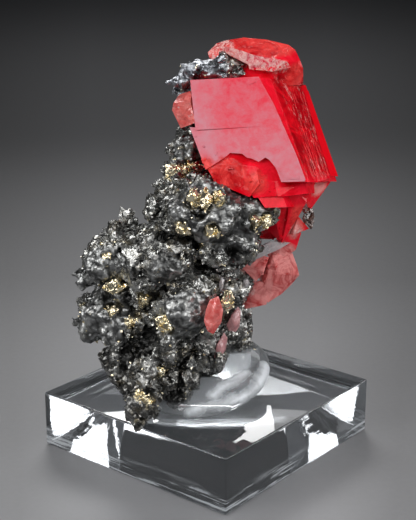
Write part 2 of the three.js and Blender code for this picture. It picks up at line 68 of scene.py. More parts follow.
class Value:
    """A socket of a node tree. An expression on values adds its Math nodes."""

    def __init__(self, tree, socket):
        self.tree = tree
        self.socket = socket

    def __add__(self, other):
        return self.tree.math("ADD", self, other)

    def __radd__(self, other):
        return self.tree.math("ADD", other, self)

    def __sub__(self, other):
        return self.tree.math("SUBTRACT", self, other)

    def __rsub__(self, other):
        return self.tree.math("SUBTRACT", other, self)

    def __mul__(self, other):
        return self.tree.math("MULTIPLY", self, other)

    def __rmul__(self, other):
        return self.tree.math("MULTIPLY", other, self)

    def __truediv__(self, other):
        return self.tree.math("DIVIDE", self, other)

    def __rtruediv__(self, other):
        return self.tree.math("DIVIDE", other, self)

    def __pow__(self, other):
        return self.tree.math("POWER", self, other)

    def output(self, name):
        return Value(self.tree, self.socket.node.outputs[name])


class Tree:
    """A shader or geometry node tree."""

    def __init__(self, nodes_and_links):
        self.nodes = nodes_and_links.nodes
        self.links = nodes_and_links.links

    def add(self, kind, settings=None, sockets=None, output=0):
        """A node of that type, with its settings made first, then its sockets' values or links."""
        node = self.nodes.new(kind)
        for name, setting in (settings or {}).items():
            setattr(node, name, setting)
        for name, value in (sockets or {}).items():
            if isinstance(value, Value):
                self.links.new(value.socket, node.inputs[name])
            else:
                node.inputs[name].default_value = value
        return Value(self, node.outputs[output]) if node.outputs else None

    def math(self, operation, *terms):
        return self.add("ShaderNodeMath", {"operation": operation}, dict(enumerate(terms)))

    def vector(self, operation, *terms, output=0):
        return self.add("ShaderNodeVectorMath", {"operation": operation}, dict(enumerate(terms)), output)

    def along(self, place, direction):
        """How far the place lies along a direction of length 1."""
        return self.vector("DOT_PRODUCT", place, direction, output=1)

    def mix(self, share, first, second):
        """A colour between the first and the second."""
        pair = {0: share, 6: solid(first), 7: solid(second)}
        return self.add("ShaderNodeMix", {"data_type": "RGBA"}, pair, output=2)

    def noise(self, place, size, detail=4, roughness=0.55, distortion=0):
        """A cloudy pattern from 0 to 1, with patches of about that size."""
        values = {
            "Vector": place, "Scale": 1 / size, "Detail": detail,
            "Roughness": roughness, "Distortion": distortion,
        }
        return self.add("ShaderNodeTexNoise", {"noise_dimensions": "3D"}, values)

    def pebbles(self, place, size, smoothness):
        """The distance from the middle of the nearest pebble, in a pattern of pebbles of that size."""
        pattern = {"voronoi_dimensions": "3D", "feature": "SMOOTH_F1"}
        values = {"Vector": place, "Scale": 1 / size, "Smoothness": smoothness}
        return self.add("ShaderNodeTexVoronoi", pattern, values, output="Distance")

    def range(self, value, low, high, to_low=0, to_high=1):
        """The value stretched from one range to another, and kept inside it."""
        ends = {0: value, 1: low, 2: high, 3: to_low, 4: to_high}
        return self.add("ShaderNodeMapRange", {"clamp": True}, ends)


def solid(color):
    """The colour with a full last part, unless it comes from a node."""
    return color if isinstance(color, Value) else (*color, 1)


def new_material(name):
    """A bare material's tree, and the place on the specimen in millimetres."""
    material = bpy.data.materials.new(name)
    material.use_nodes = True
    material.node_tree.nodes.clear()
    tree = Tree(material.node_tree)
    place = tree.add("ShaderNodeTexCoord", output="Object")
    turned = {"Vector": place, "Rotation": (0, 0, -SPECIMEN_TURN), "Scale": (1 / MM, 1 / MM, 1 / MM)}
    return material, tree, tree.add("ShaderNodeMapping", {"vector_type": "POINT"}, turned)


def surface(tree, sockets, volume=None):
    """The shader, on the material's output."""
    shader = tree.add("ShaderNodeBsdfPrincipled", None, sockets)
    ends = {"Surface": shader}
    if volume:
        ends["Volume"] = tree.add("ShaderNodeVolumeAbsorption", None, volume)
    tree.add("ShaderNodeOutputMaterial", None, ends)


def relief(tree, height, depth):
    """A bump of that depth in millimetres."""
    return tree.add("ShaderNodeBump", None, {"Height": height, "Strength": 1, "Distance": depth * MM})


# Places on the specimen, in millimetres: middle and radius

# The rounded knobs, where the surface is lumpy and has few crystals on it
KNOBS = [
    ((-21, -15, 43), 5), ((-21, -14, 33), 4.5), ((0, -17, 56), 8), ((8, -14, 54), 5),
    ((-4, -19, 34), 6), ((-8, -20, 45), 4), ((-3.5, -2, 65), 4), ((-25.5, -9, 40), 3),
    ((-25, -9, 29.5), 3.5), ((-3, 3, 81), 4.5),
]

# Hollows between the knobs, sunk into the surface and painted black as shade
HOLLOWS = [
    ((-1.5, -16.8, 57.1), 0.7), ((-13.9, -16.6, 28.7), 1.6), ((-12, -15, 30), 1.2),
    ((5, -14.5, 47.5), 1.2), ((-9, -14, 52), 0.9), ((-17, -17, 26.5), 1),
]

# Patches of pyrite grown into the surface
GOLD_SPOTS = [
    ((-4.7, 0, 61), 1.6), ((-2.9, -13.6, 59.3), 0.9), ((-0.5, -13.9, 59.2), 1.2),
    ((2.1, -12.5, 58.8), 0.8), ((-4.8, -13, 52.6), 1.7), ((0.7, -15.6, 52.6), 0.9),
    ((10.2, -11.5, 53.3), 1.1), ((12.1, -10.8, 53.3), 0.8), ((-1.4, -10.2, 48.4), 0.9),
    ((-19, -13, 40), 1.4), ((-13.5, -12.8, 37.1), 1), ((-20.3, -11.6, 33.8), 1.2),
    ((-15.9, -16.2, 33.6), 1), ((-8.8, -14.8, 32.4), 1.5), ((-9.9, -15.2, 22.1), 1),
    ((-13.7, -22.4, 20.1), 1.2), ((-11.8, -20.8, 17.2), 1.2), ((-20.7, -14.5, 47.4), 0.6),
]

# Where the grown-together crystals are coral, hazy coral, and pale and cracked
CORAL_SPOTS = [
    ((4, -10, 63), 3), ((-1, -10, 64.5), 1.8), ((9.5, -11, 61.5), 1.8), ((18.6, 4.8, 80.2), 2.2),
    ((19.2, -4.8, 53), 2.4), ((13, 10, 87), 5.5), ((5, 9, 85), 5),
]
HAZY_SPOTS = [((13, -5, 38), 9), ((21, -2, 60), 1.5), ((23.4, -1.7, 58.4), 1.6), ((18, -4.6, 50), 1.2)]
PALE_SPOTS = [
    ((2.6, 8, 86), 2.6), ((3.6, 4, 85.8), 2.8), ((7, 3, 84.6), 1.9), ((10, 2.6, 83.8), 1.9),
    ((13, 2.7, 83), 1.7), ((15.6, 3, 82.8), 1.1), ((22.4, -2, 59.8), 0.6), ((9, -5, 36), 0.6),
    ((18.4, -4.8, 49.6), 0.8),
]

# Where small chips of crystal lie on the grown-together crystals
CHIP_SPOTS = [
    ((9, -5, 36), 1.6), ((13, -5, 45), 1.2), ((10.5, -6, 41), 1.2), ((22, -2, 57), 1.6),
    ((11.4, -11, 60.4), 1), ((15, -6, 48.4), 1), ((-1, -10, 65), 1),
]

# The bluer sulphide on top of the main crystal
CAP_SPOTS = [((-4, 3, 80), 8)]

# Painted highlights in the gel, as milky white streaks where a reflection and the bright rim fall: the two
# ends and the radius of each
GEL_PAINTED_HIGHLIGHTS = [
    ((1, -15.4, 17), (8.2, -9.4, 19.1), 0.1), ((-3.5, -17.9, 14.2), (6.8, -15, 15.7), 0.1),
    ((6.8, -15, 15.7), (11.6, -9, 17.2), 0.2), ((11.3, -9.5, 17.3), (12.8, -5, 18.5), 0.8),
]

# Dusty patches on the block's top
BLOCK_DUST = [((14, -14, 12.4), 4), ((4, -24, 12.4), 3), ((22, -2, 12.4), 3), ((-26, -4, 12.4), 3)]


# Patterns


def near(tree, place, centre, radius, soft):
    """1 inside a ball round the centre, fading to 0 over the soft edge."""
    away = tree.vector("DISTANCE", place, centre, output=1)
    return tree.range(away, radius, radius + soft, 1, 0)


def near_any(tree, place, spots, soft):
    """1 inside any of the spots, fading to 0 over the soft edge."""
    share = 0
    for middle, radius in spots:
        share = tree.math("MAXIMUM", share, near(tree, place, middle, radius, soft))
    return share


def near_line(tree, place, start, end, radius, soft):
    """1 inside a rod from start to end, fading to 0 over the soft edge."""
    run = Vector(end) - Vector(start)
    from_start = tree.vector("SUBTRACT", place, start)
    along = tree.range(tree.along(from_start, run.normalized()), 0, run.length)
    nearest = tree.vector("MULTIPLY_ADD", tree.vector("MULTIPLY", (1, 1, 1), along), run, start)
    return near(tree, place, nearest, radius, soft)


def ragged(tree, place, size, reach):
    """The place shifted at random, so that what is drawn with it has ragged edges."""
    wander = tree.noise(place, size, 4, 0.65).output("Color")
    shifted = tree.vector("SUBTRACT", place, (reach, reach, reach))
    return tree.vector("MULTIPLY_ADD", wander, (2 * reach, 2 * reach, 2 * reach), shifted)


def along_edges(tree, place):
    """The place counted along the main crystal's three edge directions, from its face's corner."""
    shares = Matrix((ACROSS, DOWN, BACK)).transposed().inverted()
    offset = tree.vector("SUBTRACT", place, CORNER)
    return [tree.vector("DOT_PRODUCT", offset, row, output=1) for row in shares]


def knob_share(tree, place):
    """1 on the knobs, and 0 in the druse between them, with a ragged edge."""
    share = near_any(tree, place, KNOBS, 2)
    return tree.range(share - tree.noise(place, 1.8, 3, 0.6) * 0.6, 0.1, 0.35)


def facet_lift(tree, place, facets):
    """How far flat facets, tilted at random, stand out: one entry of size and slope for each layer."""
    lift = 0
    for size, slope in facets:
        cells = tree.add("ShaderNodeTexVoronoi", {"voronoi_dimensions": "3D"},
                         {"Vector": place, "Scale": 1 / size}, output="Position")
        tilt = tree.vector("MULTIPLY_ADD", cells.output("Color"), (2, 2, 2), (-1, -1, -1))
        from_middle = tree.vector("SUBTRACT", place, cells)
        lift = lift + tree.vector("DOT_PRODUCT", from_middle, tilt, output=1) * slope
    return lift


# Materials


def face_haze_and_sheen(tree, place, across, down):
    """The main face's colour: red under a pink haze, thickest at the left and low down. The haze is in part
    the crystal's own milkiness and in part a painted reflection of the lamp.
    """
    blush = tree.range(tree.noise(place, 3.2, 6, 0.7, 0.25), 0.38, 0.62)
    # Painted reflection in part: the pink veil also stands for the lamp mirrored in the flat face
    veil_and_sheen = tree.math("MAXIMUM", tree.range(across, -17, -9, 1, 0), tree.range(down, 6, 20, 0, 0.9))
    share = tree.range(blush * 0.45 + veil_and_sheen * 0.6, 0, 0.95)
    return tree.mix(share, (0.82, 0.012, 0.045), (0.64, 0.22, 0.27))


def side_growth_and_shade(tree, place, edges, color, clouds, coral):
    """The colour with the main crystal's right side on it, and the height of the side's terraces. The side
    is deep red in painted shade, with pale, broken growth lines of painted highlight, and bright red
    painted light at the back."""
    across, down, back = edges
    on_side = tree.range(across, 0.15, 0.5) * tree.range(down, 22, 24, 1, 0) * tree.range(down, -1, 0)
    on_side = on_side * (1 - coral)
    lined = on_side * tree.range(back, 2, 3.5) * tree.range(back, 7.5, 9, 1, 0)
    run = tree.add("ShaderNodeCombineXYZ", None, {"X": across * 0.3, "Y": down * 0.08, "Z": back * 0.85})
    strands = tree.noise(run, 1, 4, 0.6, 0.3)
    # Painted shade: the side is painted a deeper red than the rest
    color = tree.mix(on_side * 0.9, color, tree.mix(clouds, (0.3, 0.001, 0.004), (0.8, 0.004, 0.012)))
    # Painted light: a bright red strip at the back of the side
    color = tree.mix(on_side * tree.range(back, 8.4, 9.4) * 0.85, color, (1, 0.004, 0.014))
    outline = tree.range(tree.math("ABSOLUTE", strands - 0.5), 0.004, 0.02, 1, 0)
    dashes = tree.range(tree.noise(place, 2.4, 3, 0.6), 0.5, 0.56)
    # Painted highlights: pale broken dashes where the growth steps catch the light
    color = tree.mix(outline * dashes * lined * 0.7, color, (0.98, 0.4, 0.38))
    terraces = tree.range(strands, 0.485, 0.515) + strands * 4
    return color, terraces * lined * 0.25


def grown_rhodochrosite(name):
    """The crystals that grew together: clear red, with a hazy main face that is in part a painted
    reflection, growth lines down the main crystal's side with painted shade and highlights on it, and coral
    and pale cracked parts."""
    material, tree, place = new_material(name)
    edges = along_edges(tree, place)
    across, down, back = edges
    loose = ragged(tree, place, 2.5, 1.3)
    coral = near_any(tree, loose, CORAL_SPOTS, 1.2)
    hazy = near_any(tree, loose, HAZY_SPOTS, 1.2)
    pale = near_any(tree, loose, PALE_SPOTS, 0.8)

    clouds = tree.range(tree.noise(place, 4.5, 5, 0.65, 1), 0.38, 0.62)
    color = tree.mix(clouds, (0.72, 0.002, 0.01), (1, 0.012, 0.035))
    on_face = tree.range(back, 0.03, 0.12, 1, 0)
    # The face's pink haze, which is in part a painted reflection
    color = tree.mix(on_face, color, face_haze_and_sheen(tree, place, across, down))
    color = tree.mix(coral, color, tree.mix(clouds, (0.55, 0.008, 0.012), (1, 0.075, 0.068)))
    smoke = tree.range(tree.noise(place, 3.6, 4, 0.6, 1), 0.36, 0.56)
    color = tree.mix(hazy, color, tree.mix(smoke, (0.62, 0.06, 0.06), (1, 0.36, 0.34)))
    cracks = tree.range(tree.noise(place, 1.1, 6, 0.75, 1), 0.42, 0.6)
    color = tree.mix(pale * cracks, color, (1, 0.6, 0.56))

    color, terraces = side_growth_and_shade(tree, place, edges, color, clouds, coral)
    pits = tree.noise(place, 0.5, 3, 0.6)
    breaks = facet_lift(tree, ragged(tree, place, 3, 0.6), ((3, 0.5), (1.2, 0.4)))
    broken = tree.math("MAXIMUM", tree.math("MAXIMUM", coral * 0.5, hazy * 0.8), pale)
    height = terraces + pits * 0.03 + breaks * broken + cracks * pale * 0.08
    surface(tree, {
        "Base Color": color,
        "Roughness": tree.range(pits, 0.35, 0.75, 0.05, 0.2) + pale * 0.12,
        "IOR": 1.5,
        "Specular IOR Level": 0.12,
        "Transmission Weight": 0.15,
        "Normal": relief(tree, height, 0.35),
    }, {"Color": (0.92, 0.05, 0.06, 1), "Density": 90})
    return material


def rhodochrosite(name, light, deep, white, density):
    """A small crystal of clouded colour with white flecks and fine cracks."""
    material, tree, place = new_material(name)
    clouds = tree.range(tree.noise(place, 2.4, 5, 0.6, 0.8), 0.38, 0.66)
    flecks = tree.range(tree.noise(place, 1.3, 6, 0.7, 1.5), 0.6, 0.68)
    cracks = tree.noise(place, 0.8, 5, 0.7)
    breaks = facet_lift(tree, ragged(tree, place, 2, 0.4), ((2.6, 0.5), (1, 0.3)))
    surface(tree, {
        "Base Color": tree.mix(flecks * 0.8, tree.mix(clouds, deep, light), white),
        "Roughness": tree.range(cracks, 0.35, 0.75, 0.08, 0.3),
        "IOR": 1.7,
        "Transmission Weight": 0.25,
        "Normal": relief(tree, breaks + cracks * 0.1, 0.5),
    }, {"Color": (*light, 1), "Density": density})
    return material


def sulphide(name, dark, pale, rough, shade_low_places_by=None):
    """Dark grey metallic sulphide: satin knobs with painted shade in the creases between their pebbles,
    bright facets between them, brown stains, hollows painted black as shade, and films of pyrite. It
    darkens towards its foot, and has painted shade in low places where the piece keeps its lift."""
    material, tree, place = new_material(name)
    grain = tree.noise(place, 0.5, 4, 0.65)
    patches = tree.noise(place, 3.4, 4, 0.65, 0.4)
    stain = tree.range(tree.noise(place, 2.8, 5, 0.7, 0.6), 0.52, 0.66)
    color = tree.mix(tree.range(patches * 0.55 + grain * 0.45, 0.4, 0.62), dark, pale)
    color = tree.mix(stain * 0.7, color, (0.2, 0.16, 0.09))
    knob = knob_share(tree, place)
    color = tree.mix(knob * 0.65, color, tree.mix(patches, (0.2, 0.2, 0.195), (0.55, 0.565, 0.57)))
    pebbles = tree.pebbles(place, 1.25, 0.15)
    # Painted shade: the creases between the knobs' pebbles are painted dark
    color = tree.mix(tree.range(pebbles, 0.45, 0.75) * knob * 0.8, color, (0.02, 0.02, 0.02))
    color = tree.mix(tree.range(tree.along(place, UP), 16, 33, 0.6, 0), color, (0.02, 0.018, 0.015))
    color = tree.mix(near_any(tree, ragged(tree, place, 2, 2), CAP_SPOTS, 1) * 0.5, color, (0.4, 0.43, 0.5))
    # Painted shade: where the surface sank, it is painted darker
    if shade_low_places_by:
        lift = tree.add("ShaderNodeAttribute", {"attribute_name": shade_low_places_by}, output="Fac")
        color = tree.mix(tree.range(lift, -0.5, 0, 0.8, 0), color, (0.008, 0.008, 0.008))
    loose = ragged(tree, place, 1.1, 1)
    # Painted shade: the hollows are painted near black
    color = tree.mix(near_any(tree, loose, HOLLOWS, 1) * 0.9, color, (0.004, 0.004, 0.004))
    gold = near_any(tree, loose, GOLD_SPOTS, 0.25)
    uneven = ragged(tree, place, 2, 0.5)
    facets = facet_lift(tree, uneven, ((2.4, 0.5), (1.05, 0.22)))
    fine_facets = facet_lift(tree, uneven, ((0.75, 0.4),))
    bumps = facets * (1 - knob * 0.7) - pebbles * knob * 0.4
    bumps = bumps + fine_facets * (knob * 0.7 + 0.3) + grain * 0.06
    surface(tree, {
        "Base Color": tree.mix(gold, color, tree.mix(grain, (0.55, 0.45, 0.26), (1, 0.9, 0.66))),
        "Metallic": 0.9,
        "Roughness": tree.range(patches, 0.35, 0.65, *rough) + knob * 0.1 - gold * 0.2,
        "IOR": 2.2,
        "Normal": relief(tree, bumps, 0.6),
    })
    return material


def pyrite(name):
    """Pale brass with fine grooves and a little brown tarnish."""
    material, tree, place = new_material(name)
    grooves = tree.noise(tree.vector("MULTIPLY", place, (1.5, 1, 5)), 0.7, 3, 0.5)
    tarnish = tree.range(tree.noise(place, 1.2, 4, 0.65), 0.5, 0.68)
    surface(tree, {
        "Base Color": tree.mix(tarnish, (1, 0.9, 0.66), (0.45, 0.36, 0.2)),
        "Metallic": 1.0,
        "Roughness": tree.range(tarnish, 0, 1, 0.16, 0.36),
        "Normal": relief(tree, grooves, 0.04),
    })
    return material


def gel_film_and_highlights(tree, place):
    """A milky film all over the gel, with thicker streaks of painted highlight where a reflection and the
    bright rim fall.
    """
    share = 0
    loose = ragged(tree, place, 4, 1.5)
    for start, end, radius in GEL_PAINTED_HIGHLIGHTS:
        share = tree.math("MAXIMUM", share, near_line(tree, loose, start, end, radius, 1.7))
    return share * 0.6 + 0.13


def block_dust_and_light_bands(tree, place):
    """A thin film all over the block, with dust on its top and painted bands of light low in its sides."""
    specks = tree.range(tree.noise(place, 1.2, 8, 0.8, 1.5), 0.58, 0.72)
    dust = near_any(tree, ragged(tree, place, 5, 4), BLOCK_DUST, 3) * specks * 0.5 + 0.03
    height = tree.along(place, UP)
    # Painted light: wavy white bands low in the sides
    bands = tree.noise(tree.vector("MULTIPLY", place, (0.06, 0.06, 1.3)), 1, 5, 0.65, 0.3)
    low = tree.range(height, 2.5, 5, 1, 0) * tree.range(height, 0.2, 0.5)
    return tree.range(bands, 0.5, 0.58) * low * 0.5 + dust


def clear(name, ior, waves, roughness, tint, milk_and_highlight_share):
    """A see-through material with an uneven surface, milky as the rule says for each place; the milky white
    is in part film and dust and in part painted light. Each wave has a stretch for each axis in its
    pattern, and a depth in millimetres."""
    material, tree, place = new_material(name)
    height = 0
    for stretch, depth in waves:
        height = height + tree.noise(tree.vector("MULTIPLY", place, stretch), 1, 2, 0.5) * depth
    marks = tree.range(tree.noise(place, 2.5, 6, 0.75), 0.6, 0.8)
    bump = relief(tree, height, 1)
    glass = tree.add("ShaderNodeBsdfPrincipled", None, {
        "Base Color": (0.97, 0.985, 1, 1),
        "Roughness": tree.range(marks, 0, 1, roughness, roughness + 0.06),
        "IOR": ior,
        "Transmission Weight": 1.0,
        "Normal": bump,
    })
    milk_white_and_highlight = tree.add("ShaderNodeBsdfPrincipled", None, {
        "Base Color": (0.8, 0.84, 0.88, 1), "Roughness": 0.4, "Normal": bump,
    })
    # Milky white, which is in part painted highlights and bands of light
    mixed = tree.add("ShaderNodeMixShader", None, {0: milk_and_highlight_share(tree, place), 1: glass, 2: milk_white_and_highlight})
    body = tree.add("ShaderNodeVolumeAbsorption", None, {"Color": (*tint, 1), "Density": 100})
    tree.add("ShaderNodeOutputMaterial", None, {"Surface": mixed, "Volume": body})
    return material


def quartz(name):
    """Clear quartz with white clouds."""
    material, tree, place = new_material(name)
    clouds = tree.range(tree.noise(place, 1.6, 5, 0.6), 0.4, 0.65)
    surface(tree, {
        "Base Color": tree.mix(clouds, (0.93, 0.86, 0.87), (0.75, 0.7, 0.72)),
        "Roughness": tree.range(clouds, 0, 1, 0.05, 0.3),
        "IOR": 1.54,
        "Transmission Weight": 0.55,
        "Normal": relief(tree, clouds, 0.05),
    })
    return material


def sphalerite(name):
    """Dark brown resinous grain."""
    material, tree, place = new_material(name)
    grain = tree.noise(place, 0.7, 5, 0.65)
    surface(tree, {
        "Base Color": tree.mix(tree.range(grain, 0.35, 0.7), (0.02, 0.01, 0.008), (0.16, 0.06, 0.03)),
        "Roughness": tree.range(grain, 0.3, 0.7, 0.1, 0.35),
        "IOR": 2.3,
        "Normal": relief(tree, grain, 0.12),
    })
    return material


def studio_floor(name):
    """Grey paper with a painted pool of light: palest in front of the block, with painted shade behind and
    beside it.
    """
    material, tree, place = new_material(name)
    paper = tree.noise(place, 1.5, 3, 0.6)
    distance = tree.along(place, (0, 1, 0))
    # Painted light: the paper is palest in front of the block and darker behind it, as a pool of lamplight
    # falls off
    color = tree.mix(tree.range(distance, -90, 110), (0.27, 0.27, 0.28), (0.088, 0.088, 0.092))
    beside = tree.math("ABSOLUTE", tree.along(place, (1, 0, 0)))
    spread = tree.range(distance, -120, 900, 13, 105)
    # Painted shade: the paper darkens towards black at the sides of a pool of light that widens backwards
    color = tree.mix(tree.range(beside / spread, 1, 1.8, 0, 0.38), color, (0, 0, 0))
    surface(tree, {
        "Base Color": tree.mix(paper * 0.1, color, (0.5, 0.5, 0.51)),
        "Roughness": tree.range(paper, 0, 1, 0.5, 0.62),
        "Normal": relief(tree, paper, 0.02),
    })
    return material


# Modelling


def pick(piece):
    """Makes the piece the only one selected, and the active one."""
    bpy.ops.object.select_all(action="DESELECT")
    piece.select_set(True)
    bpy.context.view_layer.objects.active = piece


def apply_modifier(piece, kind, **settings):
    """Gives the piece a modifier with those settings, and keeps the result."""
    pick(piece)
    modifier = piece.modifiers.new(kind.lower(), kind)
    for name, setting in settings.items():
        setattr(modifier, name, setting)
    bpy.ops.object.modifier_apply(modifier=modifier.name)


def edit(piece, *steps):
    """Runs edit-mode steps with the whole piece selected."""
    pick(piece)
    bpy.ops.object.mode_set(mode="EDIT")
    for step in steps:
        bpy.ops.mesh.select_all(action="SELECT")
        step()
    bpy.ops.object.mode_set(mode="OBJECT")


def copy_of(node, name):
    """A merged copy of a CAD node's mesh, in the specimen's millimetres."""
    piece = bpy.data.objects.new(name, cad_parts[node].data.copy())
    bpy.context.collection.objects.link(piece)
    piece.data.materials.clear()
    piece.data.transform(TO_SPECIMEN)
    edit(
        piece,
        lambda: bpy.ops.mesh.remove_doubles(threshold=0.001),
        lambda: bpy.ops.mesh.dissolve_limited(angle_limit=math.radians(1)),
    )
    return piece


def shape_by_nodes(piece, build):
    """Works the piece over with geometry nodes, and keeps the result."""
    group = bpy.data.node_groups.new(piece.name, "GeometryNodeTree")
    for side in ("INPUT", "OUTPUT"):
        group.interface.new_socket("Geometry", in_out=side, socket_type="NodeSocketGeometry")
    tree = Tree(group)
    tree.add("NodeGroupOutput", None, {"Geometry": build(tree, tree.add("NodeGroupInput"))})
    apply_modifier(piece, "NODES", node_group=group)


def settle(piece, slot, material, *nodes, smooth=None):
    """Puts a finished piece in the frame: its place, finish, body and the nodes that it stands for."""
    piece.data.transform(TO_FRAME)
    piece.data.materials.clear()
    piece.data.materials.append(material)
    pick(piece)
    if smooth is None:
        bpy.ops.object.shade_flat()
    else:
        bpy.ops.object.shade_smooth_by_angle(angle=math.radians(smooth))
    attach(piece, "root")
    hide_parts(*nodes)


# Matrix

MATRIX_VOXEL = 0.37

# Domes as size and height, and flat facets as size and slope
MATRIX_DOMES = ((4.2, 1), (1.9, 0.32))
MATRIX_FACETS = ((3.8, 0.32), (1.8, 0.22))
HOLLOW_DEPTH = 1.4

# What is strewn over the surfaces: the smallest and the largest, and the seed of its chances
SHAPES_SEED = 5
DRUSE_SIZES, DRUSE_SEED = (0.45, 1.5), 3
BLADE_SIZES, BLADE_SEED = (1.6, 3.4), 21
FLECK_SIZES, FLECK_SEED = (0.3, 1.1), 9
CHIP_SIZES, CHIP_SEED = (0.3, 1.3), 33


def lifted(tree, geometry, lift):
    """The geometry moved out along its normals by the lift, which it also keeps as its own value."""
    kept = tree.add("GeometryNodeStoreNamedAttribute", {"data_type": "FLOAT", "domain": "POINT"},
                    {"Geometry": geometry, "Name": "lift", "Value": lift})
    offset = tree.vector("SCALE", tree.add("GeometryNodeInputNormal"))
    tree.links.new(lift.socket, offset.socket.node.inputs["Scale"])
    return tree.add("GeometryNodeSetPosition", None, {"Geometry": kept, "Offset": offset})


def lumps_and_facets(tree, geometry):
    """Swells the knobs into small domes, tilts patches of the rest as faces of crystals, and sinks
    the hollows."""
    place = tree.add("GeometryNodeInputPosition")
    knob = knob_share(tree, place)
    lift = 0
    for size, height in MATRIX_DOMES:
        away = tree.pebbles(place, size, 0.3)
        lift = lift + (0.45 - away) * (knob * 0.8 + 0.2) * height
    lift = lift + facet_lift(tree, place, MATRIX_FACETS) * (1 - knob * 0.75)
    lift = lift - near_any(tree, place, HOLLOWS, 1.4) * HOLLOW_DEPTH
    return lifted(tree, geometry, lift)


def make_matrix():
    """The dark mass, rounded a little before its domes, facets and hollows."""
    matrix = copy_of("matrix", "sulphide_matrix")
    apply_modifier(matrix, "REMESH", mode="VOXEL", voxel_size=MATRIX_VOXEL)
    apply_modifier(matrix, "SMOOTH", factor=0.5, iterations=6)
    shape_by_nodes(matrix, lumps_and_facets)
    return matrix


def crystal_shapes():
    """The few small crystals that the crust repeats, about a millimetre across each."""
    shapes = bpy.data.collections.new("crust_shapes")
    makers = (
        lambda: bpy.ops.mesh.primitive_cone_add(vertices=3, radius1=0.6, radius2=0, depth=0.85),
        lambda: bpy.ops.mesh.primitive_ico_sphere_add(subdivisions=1, radius=0.5),
        lambda: bpy.ops.mesh.primitive_cylinder_add(vertices=6, radius=0.6, depth=0.25),
        lambda: bpy.ops.mesh.primitive_cube_add(size=0.75),
    )
    chance = random.Random(SHAPES_SEED)
    for make in makers:
        make()
        shape = bpy.context.active_object
        cuts = [Vector((chance.uniform(-1, 1), chance.uniform(-1, 1), chance.uniform(0, 1))).normalized()
                for _ in range(3)]
        edit(shape, *(lambda cut=cut: bpy.ops.mesh.bisect(
            plane_co=cut * 0.3, plane_no=cut, use_fill=True, clear_outer=True) for cut in cuts))
        for owner in list(shape.users_collection):
            owner.objects.unlink(shape)
        shapes.objects.link(shape)
    return shapes


def scatter(tree, geometry, shapes, density_at, sizes, seed):
    """The shapes strewn over the surface at random turns, as dense as the rule says for each place."""
    density = density_at(tree, tree.add("GeometryNodeInputPosition"))
    points = tree.add("GeometryNodeDistributePointsOnFaces", {"distribute_method": "RANDOM"},
                      {"Mesh": geometry, "Density": density, "Seed": seed})
    turn = tree.add("FunctionNodeRandomValue", {"data_type": "FLOAT_VECTOR"},
                    {0: (0, 0, 0), 1: (math.tau, math.tau, math.tau), "Seed": seed + 1})
    share = tree.add("FunctionNodeRandomValue", {"data_type": "FLOAT"},
                     {2: 0.0, 3: 1.0, "Seed": seed + 2}, output=1)
    size = (share ** 3) * (sizes[1] - sizes[0]) + sizes[0]
    pieces = tree.add("GeometryNodeCollectionInfo", None,
                      {"Collection": shapes, "Separate Children": True, "Reset Children": True})
    strewn = tree.add("GeometryNodeInstanceOnPoints", None,
                      {"Points": points, "Instance": pieces, "Pick Instance": True,
                       "Rotation": turn, "Scale": size})
    return tree.add("GeometryNodeRealizeInstances", None, {"Geometry": strewn})


def strewn_on(base, name, shapes, density_at, sizes, seed):
    """A piece made of shapes strewn over the base's surface."""
    piece = bpy.data.objects.new(name, base.data.copy())
    bpy.context.collection.objects.link(piece)
    shape_by_nodes(piece, lambda tree, start: scatter(tree, start, shapes, density_at, sizes, seed))
    return piece


def druse_density(tree, place):
    """Small crystals in patches between the knobs, for each square millimetre."""
    patches = tree.range(tree.noise(place, 4, 3, 0.6), 0.4, 0.56, 0.25, 1)
    return (1 - knob_share(tree, place) * 0.93) * patches * 0.42


def blade_density(tree, place):
    """A few larger crystals between the knobs."""
    return (1 - knob_share(tree, place)) * 0.035


def fleck_density(tree, place):
    """Pyrite crystals, mostly at the patches of pyrite."""
    return near_any(tree, place, GOLD_SPOTS, 1.2) * 0.7 + 0.06


def chip_density(tree, place):
    """Chips at their own spots alone."""
    return near_any(tree, place, CHIP_SPOTS, 1) * 0.9


# Crystals


# How much the edges of each kind are worn
CLUSTER_EDGE = 0.1
SMALL_EDGE = 0.16
QUARTZ_EDGE = 0.05


def worked_crystal(node, name, edge):
    """A CAD crystal with its sharp edges worn a little."""
    crystal = copy_of(node, name)
    apply_modifier(crystal, "BEVEL", width=edge, segments=2, limit_method="ANGLE",
                   angle_limit=math.radians(18))
    return crystal


# Two of the right side's bands, as across, down and back: the ends of the front edge, then of the
# back edge
SIDE_BANDS = [
    (((1.3, 0.3, 2.9), (0.8, 24.1, 1.9)), ((2.7, 0.4, 5.6), (1.3, 24.2, 4))),
    (((2.7, 0.8, 5.2), (1.6, 24, 4)), ((4.1, 1.4, 8.8), (3, 23.2, 8.4))),
]
SIDE_STEPS = 34
SIDE_SEED = 17

# The outline of a lath on a band, as shares of its length and of its half width
LATH_OUTLINE = [(0, -0.5), (0.5, -1), (1, -0.4), (0.9, 0.6), (0.4, 1), (0.05, 0.5)]

# Thin chips on the main face: how far back they lie, their thickness, and outlines as across and down
CHIP_BACK = -0.02
CHIP_THICKNESS = 0.3
FACE_CHIPS = [
    ((-6.2, 0.15), (-4, 0.05), (-2.7, 0.9), (-4.4, 1.6)),
    ((-9.2, 0.3), (-7.2, 0.2), (-7.6, 1.1)),
    ((-4.4, 21.2), (-1, 22.6), (-1.2, 23.4), (-4, 23.2)),
]


def on_crystal(across, down, back):
    """A place counted along the main crystal's edge directions, from its face's corner."""
    return CORNER + ACROSS * across + DOWN * down + BACK * back


